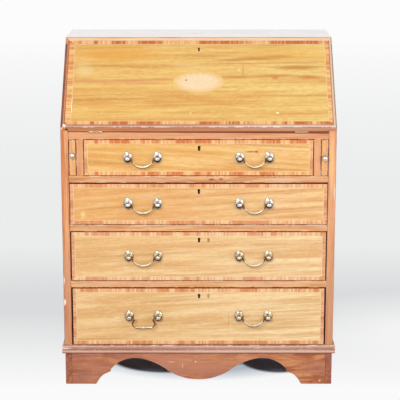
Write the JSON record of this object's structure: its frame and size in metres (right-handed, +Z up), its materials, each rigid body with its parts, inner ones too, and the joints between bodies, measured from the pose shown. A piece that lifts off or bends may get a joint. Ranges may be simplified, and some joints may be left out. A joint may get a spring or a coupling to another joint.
{
  "type": "bureau desk",
  "caption": "Slant-front bureau desk with a hinged fall on pull-out lopers, long drawers with swinging bail handles, pigeonholes inside and a shaped bracket base.",
  "frame": {"origin": "on the floor, in the middle of the whole desk with its handles", "axes": "+Z up; -Y is the front with the drawers and the fall; +X is the right-hand side as seen from the front"},
  "size_m": [0.7752, 0.4698, 0.9678],
  "materials": {
    "satinwood": "french polished, figured, gone golden",
    "mahogany": "polished, faded to a light red brown",
    "base_mahogany": "polished, rubbed",
    "drawer_oak": "planed, unpolished",
    "inner_mahogany": "thinly polished",
    "handle_brass": "plated once, now rubbed and pale",
    "hinge_brass": "plain, dulled",
    "writing_leather": "dyed and glazed writing leather"
  },
  "bodies": {
    "carcass": {"side_left": "mahogany", "side_right": "mahogany", "top_board": "mahogany", "back_panel": "drawer_oak", "bottom_board": "mahogany", "writing_bed": "mahogany", "divider_1": "mahogany", "divider_2": "mahogany", "divider_3": "mahogany", "loper_guide_left": "mahogany", "loper_guide_right": "mahogany", "base_moulding": "base_mahogany", "front_apron": "base_mahogany", "side_bracket_left": "base_mahogany", "side_bracket_right": "base_mahogany", "pigeonhole_unit": "inner_mahogany", "bed_leaf_left": "hinge_brass", "bed_leaf_right": "hinge_brass"},
    "fall": {"fall_panel": "satinwood", "fall_lock": "hinge_brass", "fall_leaf_left": "hinge_brass", "fall_leaf_right": "hinge_brass"},
    "loper_left": {"loper_left": "mahogany", "loper_knob_left": "handle_brass"},
    "loper_right": {"loper_right": "mahogany", "loper_knob_right": "handle_brass"},
    "drawer_1": {"drawer_front_1": "satinwood", "drawer_box_1": "drawer_oak", "handle_post_1_1": "handle_brass", "handle_post_1_2": "handle_brass", "handle_post_1_3": "handle_brass", "handle_post_1_4": "handle_brass"},
    "drawer_2": {"drawer_front_2": "satinwood", "drawer_box_2": "drawer_oak", "handle_post_2_1": "handle_brass", "handle_post_2_2": "handle_brass", "handle_post_2_3": "handle_brass", "handle_post_2_4": "handle_brass"},
    "drawer_3": {"drawer_front_3": "satinwood", "drawer_box_3": "drawer_oak", "handle_post_3_1": "handle_brass", "handle_post_3_2": "handle_brass", "handle_post_3_3": "handle_brass", "handle_post_3_4": "handle_brass"},
    "drawer_4": {"drawer_front_4": "satinwood", "drawer_box_4": "drawer_oak", "handle_post_4_1": "handle_brass", "handle_post_4_2": "handle_brass", "handle_post_4_3": "handle_brass", "handle_post_4_4": "handle_brass"},
    "bail_1_left": {"bail_1_left": "handle_brass"},
    "bail_1_right": {"bail_1_right": "handle_brass"},
    "bail_2_left": {"bail_2_left": "handle_brass"},
    "bail_2_right": {"bail_2_right": "handle_brass"},
    "bail_3_left": {"bail_3_left": "handle_brass"},
    "bail_3_right": {"bail_3_right": "handle_brass"},
    "bail_4_left": {"bail_4_left": "handle_brass"},
    "bail_4_right": {"bail_4_right": "handle_brass"},
    "inner_drawer_left": {"inner_drawer_left": "satinwood"},
    "inner_drawer_right": {"inner_drawer_right": "satinwood"}
  },
  "joints": [
    {"name": "fall_hinge", "type": "hinge", "parent": "carcass", "child": "fall", "pos_m": [0, -0.2116, 0.731], "axis": [1, 0, 0], "range_deg": [0, 135]},
    {"name": "loper_left_slide", "type": "slide", "parent": "carcass", "child": "loper_left", "axis": [0, -1, 0], "range_m": [0, 0.25]},
    {"name": "loper_right_slide", "type": "slide", "parent": "carcass", "child": "loper_right", "axis": [0, -1, 0], "range_m": [0, 0.25]},
    {"name": "drawer_1_slide", "type": "slide", "parent": "carcass", "child": "drawer_1", "axis": [0, -1, 0], "range_m": [0, 0.28]},
    {"name": "drawer_2_slide", "type": "slide", "parent": "carcass", "child": "drawer_2", "axis": [0, -1, 0], "range_m": [0, 0.3]},
    {"name": "drawer_3_slide", "type": "slide", "parent": "carcass", "child": "drawer_3", "axis": [0, -1, 0], "range_m": [0, 0.3]},
    {"name": "drawer_4_slide", "type": "slide", "parent": "carcass", "child": "drawer_4", "axis": [0, -1, 0], "range_m": [0, 0.3]},
    {"name": "bail_1_left_swing", "type": "hinge", "parent": "drawer_1", "child": "bail_1_left", "pos_m": [-0.155, -0.2271, 0.6585], "axis": [-1, 0, 0], "range_deg": [-35, 215]},
    {"name": "bail_1_right_swing", "type": "hinge", "parent": "drawer_1", "child": "bail_1_right", "pos_m": [0.155, -0.2271, 0.6585], "axis": [-1, 0, 0], "range_deg": [-35, 215]},
    {"name": "bail_2_left_swing", "type": "hinge", "parent": "drawer_2", "child": "bail_2_left", "pos_m": [-0.155, -0.2271, 0.528], "axis": [-1, 0, 0], "range_deg": [-35, 215]},
    {"name": "bail_2_right_swing", "type": "hinge", "parent": "drawer_2", "child": "bail_2_right", "pos_m": [0.155, -0.2271, 0.528], "axis": [-1, 0, 0], "range_deg": [-35, 215]},
    {"name": "bail_3_left_swing", "type": "hinge", "parent": "drawer_3", "child": "bail_3_left", "pos_m": [-0.155, -0.2271, 0.37725], "axis": [-1, 0, 0], "range_deg": [-35, 215]},
    {"name": "bail_3_right_swing", "type": "hinge", "parent": "drawer_3", "child": "bail_3_right", "pos_m": [0.155, -0.2271, 0.37725], "axis": [-1, 0, 0], "range_deg": [-35, 215]},
    {"name": "bail_4_left_swing", "type": "hinge", "parent": "drawer_4", "child": "bail_4_left", "pos_m": [-0.155, -0.2271, 0.202], "axis": [-1, 0, 0], "range_deg": [-25, 205]},
    {"name": "bail_4_right_swing", "type": "hinge", "parent": "drawer_4", "child": "bail_4_right", "pos_m": [0.155, -0.2271, 0.202], "axis": [-1, 0, 0], "range_deg": [-35, 215]},
    {"name": "inner_drawer_left_slide", "type": "slide", "parent": "carcass", "child": "inner_drawer_left", "axis": [0, -1, 0], "range_m": [0, 0.1]},
    {"name": "inner_drawer_right_slide", "type": "slide", "parent": "carcass", "child": "inner_drawer_right", "axis": [0, -1, 0], "range_m": [0, 0.1]}
  ]
}
